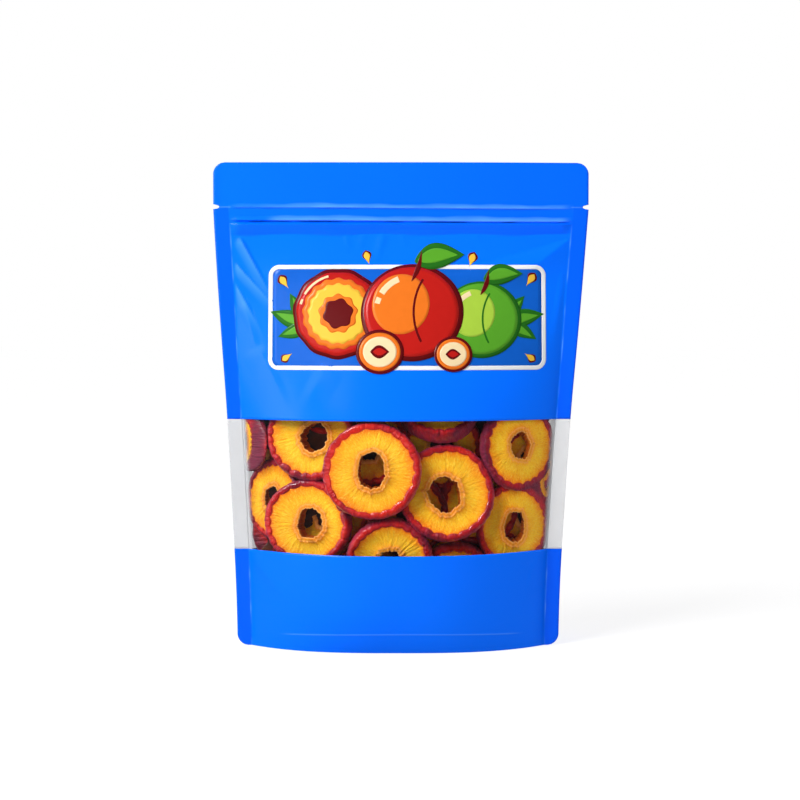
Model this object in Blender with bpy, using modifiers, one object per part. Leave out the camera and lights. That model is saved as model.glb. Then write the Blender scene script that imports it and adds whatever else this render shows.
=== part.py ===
"""Dried sour plum slices in a printed stand-up pouch with a clear band round its middle.

The pouch stands on its open gusset with its front towards -Y. Lengths are in millimetres until a mesh
is made, X runs across the front, Y from front to back and Z up. The film keeps its flat width at every
height, so where the filling holds the side seals closer together each panel bows out further.
"""

import math

import bmesh
import bpy
import numpy as np
from mathutils import Matrix

MM = 0.001

# Outline of the film, front view
HEIGHT = 205.0
HALF_WIDTH_TOP = 80.0
HALF_WIDTH_BASE = 67.6
TAPER_TOP = 185.0
TAPER_EASE = 0.6
LEAN = 1.4
TOP_CORNER = 4.2
BASE_CORNER = 5.0
SEAL_WIDTH = 7.0
SEAL_HALF_THICKNESS = 0.5

# Bow of the panels
PANEL_FLAT_WIDTH = 2 * (HALF_WIDTH_TOP - SEAL_WIDTH)
CLOSING_START = 90.0
CLOSING_END = 176.5
CLOSING_POWER = 2.2
RIM_PULL_IN = 0.33
RIM_PULL_HEIGHT = 18.0
PANEL_FULLNESS = 2.3
RIM_EXTRA_FULLNESS = 0.7

# Clear band
BAND_LOW = 41.6
BAND_HIGH = 96.0
GAP = 0.3
FILM_WALL = 0.8
HEAP_CLEARANCE = 0.4

# Press zip and tear notches
ZIP_BEADS = ((175.2, 179.3, 0.5), (180.6, 182.6, 0.9), (185.9, 187.7, 0.9))
BEAD_SLOPE = 0.3
NOTCH_HEIGHT_CENTRE = 186.2
NOTCH_HALF_HEIGHT = 0.95
NOTCH_DEPTH = 2.5

# Gusset underneath
RIM_FOOT = 0.965
GROOVE_OUTER = 0.93
GROOVE_INNER = 0.80
GROOVE_DEPTH = 3.5
BELLY_FOOT = 0.62

# Plum slices
SLICE_THICKNESS = 8.0
SLICE_HOLE = 0.33
SLICE_SIDES = 18
CORE_HALF_DEPTH = 14.0
CORE_MARGIN = 10.0
BACK_COLUMNS = 4
BACK_ROWS = 3
BACK_COLUMN_STEP = 29.5
BACK_ROW_STEP = 20.0
BACK_LOWEST = 49.0
BACK_RADIUS = 17.6
BACK_SINK = 8.0
BACK_LAYER_STEP = 4.0
BACK_STAGGER = 3.0
BACK_TILT = 4.0

ARC_STEPS = 24

# Slices that show at the front: across, depth, up, radius, width by height, turn right, turn up
FRONT_SLICES = {
    "front_middle": (-12.1, -22.3, 75.6, 19.9, 1.0, -4, 0),
    "right_of_middle": (19.0, -16.5, 66.1, 19.7, 1.0, 3, 8),
    "upper_left": (-36.8, -8.8, 90.9, 18.5, 1.02, -18, 4),
    "lower_left": (-38.9, -9.3, 53.2, 17.8, 1.04, -18, 0),
    "far_left": (-52.0, 0.5, 62.9, 17.9, 0.70, -14, 0),
    "far_left_edge": (-58.5, 3.0, 84.0, 12.0, 1.0, -74, 0),
    "top_middle": (15.4, -4.0, 101.0, 17.5, 1.0, 0, 50),
    "upper_right": (48.4, -10.2, 84.9, 18.2, 0.98, 36, 0),
    "lower_right": (47.6, -4.4, 51.5, 17.1, 0.96, 24, 0),
    "bottom_middle": (-5.2, -17.0, 38.1, 17.4, 1.0, 0, -10),
    "bottom_right": (24.5, -12.0, 30.0, 17.0, 1.0, 5, -10),
    "far_right": (55.5, -1.0, 69.0, 10.0, 1.0, 55, 0),
}


def half_width(z):
    """Half of the pouch's width at height z: an eased taper, with round corners and tear notches."""
    rise = min(z / TAPER_TOP, 1.0)
    width = HALF_WIDTH_BASE + (HALF_WIDTH_TOP - HALF_WIDTH_BASE) * rise ** (1 + TAPER_EASE * (1 - rise))
    if z < BASE_CORNER:
        width -= BASE_CORNER - math.sqrt(BASE_CORNER**2 - (BASE_CORNER - z) ** 2)
    into_corner = z - (HEIGHT - TOP_CORNER)
    if into_corner > 0:
        width -= TOP_CORNER - math.sqrt(max(TOP_CORNER**2 - into_corner**2, 0))
    from_notch = abs(z - NOTCH_HEIGHT_CENTRE) / NOTCH_HALF_HEIGHT
    if from_notch < 1:
        width -= NOTCH_DEPTH * math.sqrt(1 - from_notch**2)
    return width


def chord_half(z):
    """Half of the distance between the two side seals, which the corners and notches don't change."""
    rise = min(z / TAPER_TOP, 1.0)
    width = HALF_WIDTH_BASE + (HALF_WIDTH_TOP - HALF_WIDTH_BASE) * rise ** (1 + TAPER_EASE * (1 - rise))
    return width - SEAL_WIDTH


def centre_x(z):
    """The pouch leans a little, so its middle line shifts towards the base."""
    return -LEAN * (1 - min(z / TAPER_TOP, 1.0) ** 2)


def bow(z):
    """How far a panel stands out: the sagitta of an arc as long as the flat panel, shut at the zip."""
    if z >= CLOSING_END:
        return 0.0
    chord = 2 * chord_half(z)
    sagitta = chord * math.sqrt(3 / 8 * (PANEL_FLAT_WIDTH / chord - 1))
    closing = max(z - CLOSING_START, 0) / (CLOSING_END - CLOSING_START)
    return sagitta * (1 - closing**CLOSING_POWER) * (1 - RIM_PULL_IN * math.exp(-z / RIM_PULL_HEIGHT))


def fullness(z):
    """Exponent of a panel's curve across: fuller at the gusset's rim than higher up."""
    return PANEL_FULLNESS + RIM_EXTRA_FULLNESS * math.exp(-z / RIM_PULL_HEIGHT)


def bead_height(z):
    """Height of the zip's ridges over the film at height z."""
    for low, high, height in ZIP_BEADS:
        if low - BEAD_SLOPE < z < high + BEAD_SLOPE:
            edge = min(z - low, high - z) + BEAD_SLOPE
            return height * min(edge / (2 * BEAD_SLOPE), 1.0)
    return 0.0


def panel_depth(x, z):
    """Distance of a panel's outer face from the plane of the side seals."""
    across = min(abs(x - centre_x(z)) / chord_half(z), 1.0)
    return SEAL_HALF_THICKNESS + bow(z) * (1 - across ** fullness(z))


def section(z, inset=0.0, shrink=1.0, level=None):
    """One closed outline round the pouch, seen from above and running counter-clockwise.

    Front and back are the same curve, depth = bow * (1 - |across| ** fullness), joined at each side by
    the flat seal. An inset outline lies inside the film, and shrink pulls it in towards the middle.
    """
    chord = (chord_half(z) - 1.4 * inset) * shrink
    inner = inset > 0 or shrink < 1
    edge = chord + 0.5 if inner else half_width(z)
    seal = 0.2 if inner else SEAL_HALF_THICKNESS
    depth = (bow(z) + SEAL_HALF_THICKNESS - inset) * shrink - seal
    across = np.linspace(-1, 1, ARC_STEPS + 1)
    rise = 1 - np.abs(across) ** fullness(z)
    bead = bead_height(z) * (np.abs(across) < 1)
    front = np.column_stack((across * chord, -(seal + depth * rise + bead)))
    right = np.array(((edge, -seal), (edge, seal)))
    outline = np.vstack((front, right, -front, -right))
    outline[:, 0] += centre_x(z)
    height = z if level is None else level
    return np.column_stack((outline, np.full(len(outline), height)))


def loft(name, outlines, wrap=False):
    """Joins outlines of equal length with quads, and closes the ends unless they wrap round."""
    rings = np.array(outlines)
    count, points = rings.shape[:2]
    spans = count if wrap else count - 1
    faces = []
    for ring in range(spans):
        here = ring * points
        above = (ring + 1) % count * points
        for start in range(points):
            end = (start + 1) % points
            faces.append((here + start, here + end, above + end, above + start))
    if not wrap:
        faces.append(tuple(reversed(range(points))))
        faces.append(tuple(range((count - 1) * points, count * points)))
    mesh = bpy.data.meshes.new(name)
    mesh.from_pydata((rings.reshape(-1, 3) * MM).tolist(), [], faces)
    mesh.validate()
    return mesh


def top_levels():
    """Heights of the outlines of the upper part: closer together at the zip, notches and corners."""
    levels = set(np.linspace(BAND_HIGH, ZIP_BEADS[0][0] - BEAD_SLOPE, 13))
    for low, high, _ in ZIP_BEADS:
        levels |= {low - BEAD_SLOPE, low + BEAD_SLOPE, high - BEAD_SLOPE, high + BEAD_SLOPE}
    for step in (-1.05, -0.8, 0, 0.8, 1.05):
        levels.add(NOTCH_HEIGHT_CENTRE + step * NOTCH_HALF_HEIGHT)
    for degrees in (0, 20, 40, 60, 78):
        levels.add(HEIGHT - TOP_CORNER + TOP_CORNER * math.sin(math.radians(degrees)))
    levels.add(HEIGHT)
    kept = []
    for level in sorted(levels):
        if not kept or level - kept[-1] > 0.08:
            kept.append(level)
    return kept


def printed_top():
    """Upper film from the clear band to the header: panels, zip, tear notches and sealed edge."""
    return loft("printed_top", [section(z) for z in top_levels()])


def printed_base():
    """Lower film on its gusset. The rim and the middle rest flat, with a channel between them."""
    underside = (
        section(0, shrink=BELLY_FOOT),
        section(0, shrink=GROOVE_INNER, level=GROOVE_DEPTH),
        section(0, shrink=GROOVE_OUTER, level=GROOVE_DEPTH),
        section(0, shrink=RIM_FOOT),
    )
    corner = [BASE_CORNER * (1 - math.cos(math.radians(degrees))) for degrees in (0, 30, 60, 90)]
    walls = [section(z) for z in (*corner, 9, 14, 20, 27, 34, BAND_LOW)]
    return loft("printed_base", [*underside, *walls])


def window_film():
    """Clear film round the middle: an open sleeve with flat seals at both sides."""
    levels = np.linspace(BAND_LOW + GAP, BAND_HIGH - GAP, 6)
    outside = [section(z) for z in levels]
    inside = [section(z, inset=FILM_WALL) for z in reversed(levels)]
    return loft("window_film", [*outside, *inside], wrap=True)


def slice_ring(radius, width_ratio):
    """One pitted slice: a closed profile turned round the Z axis, then made wider or narrower."""
    half = SLICE_THICKNESS / 2
    hole = radius * SLICE_HOLE
    profile = (
        (radius - 1.6, half),
        (radius, 0),
        (radius - 1.6, -half),
        (hole + 0.6, -half * 0.9),
        (hole, 0),
        (hole + 0.6, half * 0.9),
    )
    points = [(across * MM, 0, up * MM) for across, up in profile]
    edges = [(index, (index + 1) % len(points)) for index in range(len(points))]
    outline = bpy.data.meshes.new("slice_profile")
    outline.from_pydata(points, edges, [])
    turned = bpy.data.objects.new("slice_profile", outline)
    bpy.context.scene.collection.objects.link(turned)
    screw = turned.modifiers.new("turn", "SCREW")
    screw.steps = SLICE_SIDES
    screw.render_steps = SLICE_SIDES
    screw.use_merge_vertices = True
    screw.merge_threshold = 0.00001
    depsgraph = bpy.context.evaluated_depsgraph_get()
    mesh = bpy.data.meshes.new_from_object(turned.evaluated_get(depsgraph))
    bpy.data.objects.remove(turned)
    bpy.data.meshes.remove(outline)
    places = np.empty(len(mesh.vertices) * 3)
    mesh.vertices.foreach_get("co", places)
    places = places.reshape(-1, 3)
    places[:, 0] *= width_ratio
    mesh.vertices.foreach_set("co", places.ravel())
    return mesh


def placed_slice(group, name, place, radius, width_ratio, yaw, pitch):
    """Puts a slice at a place in millimetres, its face to the front, turned right and up in degrees."""
    mesh = slice_ring(radius, width_ratio)
    facing = Matrix.Rotation(math.radians(yaw), 4, "Z") @ Matrix.Rotation(math.radians(90 - pitch), 4, "X")
    mesh.transform(Matrix.Translation([length * MM for length in place]) @ facing)
    piece = bpy.data.objects.new(name, mesh)
    group.objects.link(piece)


def film_yaw(x, z):
    """Angle to the side that the front film faces at a place, in degrees."""
    step = 1.0
    slope = (panel_depth(x - step, z) - panel_depth(x + step, z)) / (2 * step)
    return math.degrees(math.atan(slope))


def place_slices(group):
    """Front slices at their own places, and rows of slices along the back film."""
    for name, (x, y, z, *form) in FRONT_SLICES.items():
        placed_slice(group, name, (x, y, z), *form)
    for row in range(BACK_ROWS):
        for column in range(BACK_COLUMNS):
            x = (column - (BACK_COLUMNS - 1) / 2) * BACK_COLUMN_STEP + BACK_STAGGER * (2 * (row % 2) - 1)
            z = BACK_LOWEST + row * BACK_ROW_STEP + BACK_STAGGER * (column % 2)
            depth = panel_depth(x, z) - BACK_SINK - BACK_LAYER_STEP * ((row + column) % 2)
            yaw = 180 - film_yaw(x, z)
            name = f"back_{row}_{column}"
            placed_slice(group, name, (x, depth, z), BACK_RADIUS, 1.0, yaw, BACK_TILT * (row - 1))


def island_volume(island):
    """Signed volume inside an island of vertices: negative for a sealed hollow."""
    faces = {face for vert in island for face in vert.link_faces}
    return sum(face.calc_area() * face.normal.dot(face.calc_center_median()) for face in faces) / 3


def largest_island(mesh):
    """Keeps the piece with the largest volume, so sealed hollows are filled and loose scraps dropped."""
    work = bmesh.new()
    work.from_mesh(mesh)
    bmesh.ops.remove_doubles(work, verts=work.verts, dist=0.000002)
    work.normal_update()
    unseen = set(work.verts)
    islands = []
    while unseen:
        stack = [unseen.pop()]
        island = set(stack)
        while stack:
            for edge in stack.pop().link_edges:
                for vert in edge.verts:
                    if vert in unseen:
                        unseen.discard(vert)
                        island.add(vert)
                        stack.append(vert)
        islands.append(island)
    islands.sort(key=island_volume)
    loose = [vert for island in islands[:-1] for vert in island]
    bmesh.ops.delete(work, geom=loose, context="VERTS")
    work.to_mesh(mesh)
    work.free()
    return mesh


def plum_slices(guides):
    """The slices of the clear band: a core with the slices that show fused on, cut to fit the film."""
    levels = (BAND_LOW + GAP, (BAND_LOW + BAND_HIGH) / 2, BAND_HIGH - GAP)
    core_outlines = []
    for z in levels:
        outline = section(z, inset=HEAP_CLEARANCE)
        middle = np.array((centre_x(z), 0, 0))
        reach = np.array(((chord_half(z) - CORE_MARGIN) / chord_half(z), CORE_HALF_DEPTH / bow(z), 1))
        core_outlines.append((outline - middle) * reach + middle)
    core = bpy.data.objects.new("heap", loft("heap", core_outlines))
    room_levels = np.linspace(BAND_LOW + GAP, BAND_HIGH - GAP, 4)
    room_mesh = loft("room", [section(z, inset=FILM_WALL + HEAP_CLEARANCE) for z in room_levels])
    room = bpy.data.objects.new("room", room_mesh)
    pieces = bpy.data.collections.new("slices_to_fuse")
    bpy.context.scene.collection.children.link(pieces)
    guides.objects.link(room)
    guides.objects.link(core)
    room.hide_render = True
    room.display_type = "WIRE"
    place_slices(pieces)

    fuse = core.modifiers.new("fuse", "BOOLEAN")
    fuse.operation = "UNION"
    fuse.operand_type = "COLLECTION"
    fuse.collection = pieces
    fuse.solver = "EXACT"
    fit = core.modifiers.new("fit", "BOOLEAN")
    fit.operation = "INTERSECT"
    fit.object = room
    fit.solver = "EXACT"
    depsgraph = bpy.context.evaluated_depsgraph_get()
    mesh = bpy.data.meshes.new_from_object(core.evaluated_get(depsgraph))
    for spent in (*pieces.objects, core, room):
        bpy.data.objects.remove(spent)
    bpy.data.collections.remove(pieces)
    mesh.name = "plum_slices"
    return largest_island(mesh)


def plastic(name, colour, roughness, alpha=1.0):
    """A Principled material with one colour."""
    material = bpy.data.materials.new(name)
    material.use_nodes = True
    shader = material.node_tree.nodes["Principled BSDF"]
    shader.inputs["Base Color"].default_value = (*colour, 1)
    shader.inputs["Roughness"].default_value = roughness
    shader.inputs["Alpha"].default_value = alpha
    material.diffuse_color = (*colour, alpha)
    return material


def main():
    for existing in list(bpy.data.objects):
        bpy.data.objects.remove(existing)
    pouch = bpy.data.collections.new("plum_slices_pouch")
    guides = bpy.data.collections.new("guides")
    for group in (pouch, guides):
        bpy.context.scene.collection.children.link(group)

    blue = plastic("blue_printed_film", (0.0, 0.19, 0.95), 0.3)
    clear = plastic("clear_film", (0.85, 0.87, 0.9), 0.12, alpha=0.35)
    fruit = plastic("dried_plum", (0.72, 0.3, 0.06), 0.45)
    parts = (
        (printed_top(), blue),
        (printed_base(), blue),
        (window_film(), clear),
        (plum_slices(guides), fruit),
    )
    for mesh, material in parts:
        mesh.materials.clear()
        mesh.materials.append(material)
        mesh.shade_smooth()
        mesh.set_sharp_from_angle(angle=math.radians(35))
        pouch.objects.link(bpy.data.objects.new(mesh.name, mesh))


main()
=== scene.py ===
"""Looks of a shut stand-up pouch of dried sour plum slices.

Lengths are in millimetres until a mesh is made. X runs across the front, Y from front to back, Z up, and
the printed front faces -Y. The film's form is the same rule as the solids': it keeps its flat width at
every height, so each panel bows out where the side seals stand closer together.
"""

import math

import bmesh
import bpy
import numpy as np
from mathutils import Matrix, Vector


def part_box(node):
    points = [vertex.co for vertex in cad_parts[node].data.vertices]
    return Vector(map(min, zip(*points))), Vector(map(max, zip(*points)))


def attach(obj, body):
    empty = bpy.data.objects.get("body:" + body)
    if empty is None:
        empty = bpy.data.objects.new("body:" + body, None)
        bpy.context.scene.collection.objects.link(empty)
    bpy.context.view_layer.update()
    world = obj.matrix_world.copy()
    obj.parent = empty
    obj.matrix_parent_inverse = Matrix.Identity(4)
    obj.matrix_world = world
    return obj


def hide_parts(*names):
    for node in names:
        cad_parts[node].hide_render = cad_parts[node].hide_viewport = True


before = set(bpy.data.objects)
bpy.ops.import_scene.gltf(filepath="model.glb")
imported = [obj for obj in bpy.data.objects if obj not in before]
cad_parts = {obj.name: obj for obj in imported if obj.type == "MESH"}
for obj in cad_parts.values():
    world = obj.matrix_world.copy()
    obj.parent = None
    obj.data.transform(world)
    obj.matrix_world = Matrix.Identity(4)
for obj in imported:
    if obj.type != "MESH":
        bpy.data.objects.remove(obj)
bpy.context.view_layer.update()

MM = 0.001

# How far the film keeps inside the solids at their sides, and at their top and bottom
SIDE_ROOM = 0.4
END_ROOM = 0.02

# Sizes read from the solids
TOP_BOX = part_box("printed_top")
BASE_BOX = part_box("printed_base")
HEIGHT = TOP_BOX[1].z / MM - END_ROOM
HALF_WIDTH_TOP = TOP_BOX[1].x / MM - SIDE_ROOM
BAND_LOW = BASE_BOX[1].z / MM
BAND_HIGH = TOP_BOX[0].z / MM

# Outline of the film, front view
HALF_WIDTH_BASE = 67.6
TAPER_TOP = 185.0
TAPER_EASE = 0.6
LEAN = 1.4
TOP_CORNER = 5.0
BASE_CORNER = 5.0
SEAL_WIDTH = 7.0
SEAL_HALF_THICKNESS = 0.32
NOTCH_HEIGHT_CENTRE = 186.2
NOTCH_HALF_HEIGHT = 0.95
NOTCH_DEPTH = 2.5
SEAL_OPENED = 0.8
SEAL_PULLED = 0.75

# How far the header's right side leans back
HEADER_LEAN = 3.5

# Printed film, and the clear film, which lies behind it with a gap and runs under its edges
FILM_THICKNESS = 0.22
CLEAR_THICKNESS = 0.08
CLEAR_GAP = 0.03
CLEAR_OVERLAP = 1.2

# The print's edges stand this far off the solids' band
PRINT_EDGE_UP = 0.3
PRINT_EDGE_DOWN = 0.5

# Bow of the panels
PANEL_FLAT_WIDTH = 2 * (HALF_WIDTH_TOP + SIDE_ROOM - SEAL_WIDTH)
CLOSING_START = 90.0
CLOSING_END = 176.5
CLOSING_POWER = 2.2
RIM_PULL_IN = 0.33
RIM_PULL_HEIGHT = 18.0
PANEL_FULLNESS = 2.3
RIM_EXTRA_FULLNESS = 0.7

# Gusset's weld, at its middle
WELD_HEIGHT = 8.3

# Zip: where its two tracks start and stand out most, the groove, and the band below them
UPPER_TRACK_TOP = 187.9
UPPER_TRACK_EDGE = 185.8
LOWER_TRACK_TOP = 182.7
LOWER_TRACK_EDGE = 180.3
ZIP_GROOVE = 179.75
ZIP_BAND_TOP = 179.6
ZIP_BAND_FOOT = 174.4

# Heights where the painted shade at the side seals changes, and where the painted highlight line beside them
# ends
SEAL_COLOUR_STEP = 186.0
SEAL_LINE_TOP = 187.0

# Stretches where the film's rows of points stand closer together: from, to, step
TOP_STRETCHES = ((150, 174, 0.75), (174, 188.6, 0.26), (HEIGHT - TOP_CORNER, HEIGHT, 0.3))
BASE_STRETCHES = ((0, BASE_CORNER, 0.3), (BASE_CORNER, 11, 0.25))
UPPER_COLUMNS = 190
LOWER_COLUMNS = 150

# Points closer together than this are one point
JOIN_DISTANCE = 0.004

# Plum slices
SLICE_THICKNESS = 8.0
SLICE_HOLE = 0.35
BACK_COLUMNS = 4
BACK_ROWS = 3
BACK_COLUMN_STEP = 29.5
BACK_ROW_STEP = 20.0
BACK_LOWEST = 49.0
BACK_RADIUS = 17.6
BACK_SINK = 8.0
BACK_LAYER_STEP = 4.0
BACK_STAGGER = 3.0
BACK_TILT = 4.0
SEED = 7

# Room that a slice keeps from the pouch's base, from the side seals and from the film's outside
BASE_ROOM = 3.0
SEAL_ROOM = 0.5
FILM_ROOM = 0.9

# Core of the heap, dark brown as painted shade inside the heap
CORE_LOW = 12.0
CORE_HIGH = 108.0
CORE_SIDE_ROOM = 9.0
CORE_HALF_DEPTH = 4.6

# Slices that show at the front: across, depth, up, radius, width by height, turn right, turn up
FRONT_SLICES = {
    "front_middle": (-12.1, -22.3, 75.6, 20.4, 1.0, -4, 0),
    "right_of_middle": (18.8, -16.5, 66.0, 20.4, 0.98, 3, 8),
    "upper_left": (-37.2, -9.0, 89.9, 19.3, 1.02, -18, 4),
    "lower_left": (-38.9, -9.5, 53.0, 18.4, 1.05, -18, 0),
    "far_left": (-53.0, -0.6, 62.4, 17.6, 0.72, -22, 0),
    "far_left_edge": (-63.6, 1.0, 86.3, 12.2, 1.0, -71, 0),
    "top_middle": (15.4, -9.0, 101.8, 17.5, 1.0, 0, 38),
    "upper_right": (49.0, -10.6, 85.1, 18.4, 0.91, 18, 0),
    "lower_right": (47.0, -8.8, 52.0, 18.0, 0.90, 6, 0),
    "bottom_middle": (-4.8, -17.0, 38.3, 17.9, 1.0, 0, -10),
    "bottom_right": (22.5, -9.0, 28.6, 17.0, 1.0, 5, -10),
    "far_right": (58.5, -0.5, 69.0, 9.0, 1.0, 62, 0),
}

# Holes of some of those: mean radius by the slice's radius, how much taller than wide, and how far it lies
# to the right of the slice's middle and above it
HOLES = {
    "front_middle": (0.322, 0.14, 0.0, 0.3), "right_of_middle": (0.345, 0.03, -1.1, -0.8),
    "upper_left": (0.296, -0.04, 2.0, -1.3), "lower_left": (0.308, 0.09, 1.9, 0.0),
    "upper_right": (0.288, 0.10, 0.0, 0.6), "lower_right": (0.311, 0.19, 0.0, -0.6),
    "bottom_middle": (0.27, 0.0, 0.0, 0.0), "far_left": (0.30, 0.05, 0.0, 0.0),
}

# Slices behind those, seen through their holes and between them, given in the same way
SECOND_SLICES = (
    (-40, 4.0, 34, 16.5, 1.0, -14, 4), (-13, -4.0, 30, 17.0, 1.0, 6, -6), (17, -3.5, 34, 17.0, 1.0, 0, 8),
    (45, 3.0, 36, 16.0, 1.0, 12, 0), (-30, -0.5, 57, 17.5, 1.0, -8, 4), (3, -6.5, 56, 17.5, 1.0, 8, -4),
    (33, -3.0, 60, 17.5, 1.0, 8, 4), (-14, -7.5, 85, 17.5, 1.0, -5, 10), (17, -5.0, 84, 17.5, 1.0, 4, -12),
    (-31, 1.5, 106, 17.0, 1.0, -8, 6), (0, -4.0, 108, 17.0, 1.0, 0, 8), (34, 1.0, 104, 17.0, 1.0, 6, -4),
    (54, -1.0, 79, 14.0, 1.0, 16, 6), (52, 1.0, 56, 13.0, 1.0, 14, -4), (-52, 3.5, 82, 13.0, 0.8, -25, 0),
)

# Slices that lie in the base, below the print's edge, given in the same way
BASE_SLICES = (
    (-46, -8, 31, 15.5, 0.9, -8, 74), (-20, -13, 29, 17.0, 1.0, 10, 80), (13, -13, 30, 17.0, 1.0, -6, 76),
    (42, -8, 31, 16.5, 1.0, 8, 78), (-40, 9, 31, 16.5, 1.0, 172, -76), (-8, 12, 29, 17.5, 1.0, 186, -80),
    (26, 11, 31, 17.0, 1.0, 176, -75), (52, 5, 30, 12.0, 1.0, 180, -78),
)

# Camera, from the photograph's framing
CAMERA_DISTANCE = 830.0
CAMERA_HEIGHT = 129.0
CAMERA_TURN_DOWN = 1.70
CAMERA_X = -0.55
LENS = 88.0

# Light that a surface facing the camera sends back, times its colour, and what fruit needs inside the film
LIGHT_LEVEL = 1.3
FRUIT_LIGHT = 1.25

# Soft boxes, in metres: place, size, power, whether it lights surfaces, whether it is mirrored in them
SOFT_BOXES = {
    "key": ((-0.543, -0.557, 0.627), 0.55, 12.7, True, False),
    "card": ((-0.94, -0.40, 0.32), 0.45, 3.0, False, True),
    "upper_card": ((-0.66, -0.36, 0.86), 0.35, 14.0, False, True),
}
LIGHT_TARGET = (0, 0, 0.1)

# Far lights: direction, strength, spread in degrees
FAR_LIGHTS = {"right": ((0.94, 0.24, 0.3), 1.5, 30), "back": ((-0.2, 0.9, 0.8), 0.8, 60)}

# How far the floor runs each way
FLOOR_REACH = 30000.0

# Colours of the printed film: plain, deeper in drifts, painted shade, painted highlight, painted shade in a
# groove
FILM_BLUE = (0.0, 0.15, 0.98, 1)
FILM_BLUE_DEEPER = (0.0, 0.136, 0.96, 1)
FILM_BLUE_SHADED = (0.0, 0.104, 0.92, 1)
FILM_BLUE_HIGHLIGHT = (0.13, 0.40, 1.0, 1)
FILM_BLUE_GROOVE_SHADE = (0.0, 0.02, 0.16, 1)


def smooth(value):
    """0 below 0 and 1 above 1, with a smooth step between: v * v * (3 - 2 * v)."""
    value = np.clip(value, 0, 1)
    return value * value * (3 - 2 * value)


def tapered_half_width(z):
    """Half width = base + (top - base) * rise ** (1 + ease * (1 - rise)), rise being height over taper."""
    rise = np.clip(z / TAPER_TOP, 0, 1)
    return HALF_WIDTH_BASE + (HALF_WIDTH_TOP - HALF_WIDTH_BASE) * rise ** (1 + TAPER_EASE * (1 - rise))


def plain_half_width(z):
    """Tapered half width, with the side seals pulled out a little in the filled part."""
    return tapered_half_width(z) + SEAL_PULLED * smooth((110 - z) / 60)


def half_width(z):
    """Plain half width, less a circle's arc at the base and top corners and a half ellipse at a notch."""
    width = plain_half_width(z)
    low = np.clip(BASE_CORNER - z, 0, BASE_CORNER)
    width = width - (BASE_CORNER - np.sqrt(BASE_CORNER**2 - low**2))
    high = np.clip(z - (HEIGHT - TOP_CORNER), 0, TOP_CORNER)
    width = width - (TOP_CORNER - np.sqrt(TOP_CORNER**2 - high**2))
    notch = np.clip(1 - ((z - NOTCH_HEIGHT_CENTRE) / NOTCH_HALF_HEIGHT) ** 2, 0, 1)
    return width - NOTCH_DEPTH * np.sqrt(notch)


def chord_half(z):
    """Half of the distance between the side seals, which sets the bow."""
    return tapered_half_width(z) - SEAL_WIDTH + SIDE_ROOM * np.clip(z / TAPER_TOP, 0, 1)


def plateau(value, low, high, slope):
    """1 between low and high, with smooth slopes outside them."""
    return smooth((value - low + slope) / slope) * smooth((high + slope - value) / slope)


def panel_half(z):
    """Half width of the bowed panel: the seals open by SEAL_OPENED where the slices fill the pouch."""
    return plain_half_width(z) - SEAL_WIDTH + SEAL_OPENED * smooth((160 - z) / 60)


def centre_x(z):
    """Middle line, which leans by LEAN * (1 - rise ** 2)."""
    return -LEAN * (1 - np.clip(z / TAPER_TOP, 0, 1) ** 2)


def bow(z):
    """Rise of an arc as long as the flat panel, chord * sqrt(3/8 * (flat / chord - 1)), shut at the zip."""
    chord = 2 * chord_half(z)
    rise = chord * np.sqrt(3 / 8 * np.clip(PANEL_FLAT_WIDTH / chord - 1, 0, None))
    closing = np.clip((z - CLOSING_START) / (CLOSING_END - CLOSING_START), 0, 1)
    return rise * (1 - closing**CLOSING_POWER) * (1 - RIM_PULL_IN * np.exp(-z / RIM_PULL_HEIGHT))


def fullness(z):
    """Exponent of a panel's curve across, fuller at the gusset's rim."""
    return PANEL_FULLNESS + RIM_EXTRA_FULLNESS * np.exp(-z / RIM_PULL_HEIGHT)


def ridge(value, centre, width):
    """Rounded ridge of height 1: a raised cosine, width wide."""
    near = np.clip(np.abs(value - centre) / (width / 2), 0, 1)
    return 0.5 + 0.5 * np.cos(np.pi * near)


# Folds of the upper panel: from and to as (across, up), height, width on the left and on the right of it
FOLDS = (
    ((-69.0, 174.0), (-52.0, 143.0), 1.00, 1.2, 4.6),
    ((-71.5, 163.5), (-47.0, 137.0), 0.80, 1.0, 4.6),
    ((-71.8, 156.0), (-56.0, 128.0), 0.60, 1.0, 5.0),
    ((-66.5, 147.0), (-58.5, 115.0), 0.40, 2.5, 6.0),
    ((-60.0, 128.0), (-46.0, 98.0), 0.60, 3.0, 9.0),
    ((-30.0, 120.0), (-42.0, 99.0), 0.50, 8.0, 4.0),
    ((70.5, 160.0), (63.0, 122.0), 0.60, 5.0, 3.0),
    ((-23.5, 174.6), (-21.0, 167.5), 0.30, 0.8, 1.8),
    ((-15.5, 174.6), (-17.5, 166.0), 0.24, 0.8, 2.2),
    ((-7.0, 175.0), (-11.0, 160.0), 0.36, 1.6, 3.2),
    ((0.5, 174.8), (2.5, 168.5), 0.26, 0.8, 1.6),
    ((31.0, 174.6), (37.0, 167.0), 0.20, 1.5, 1.5),
    ((-65.0, 40.0), (-44.0, 16.0), 0.55, 6.0, 3.0),
    ((57.0, 38.0), (50.0, 12.0), 0.30, 4.0, 2.0),
)

# Slanting fold at the right under the zip: the height where it starts, and how fast it leaves the seal
CORNER_LINE_START = 173.0
CORNER_LINE_SLOPE = 1.18


def fold(x, z, start, end, left, right):
    """Tent along a line: 1 on the line, down to 0 at its left and right widths, fading at both ends."""
    along = np.array(end, float) - start
    length = np.hypot(*along)
    unit = along / length
    run = ((x - start[0]) * unit[0] + (z - start[1]) * unit[1]) / length
    off = (x - start[0]) * unit[1] - (z - start[1]) * unit[0]
    tent = np.clip(1 - np.abs(off) / np.where(off < 0, left, right), 0, 1)
    return tent * smooth(run / 0.12) * smooth((1 - run) / 0.75)


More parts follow.
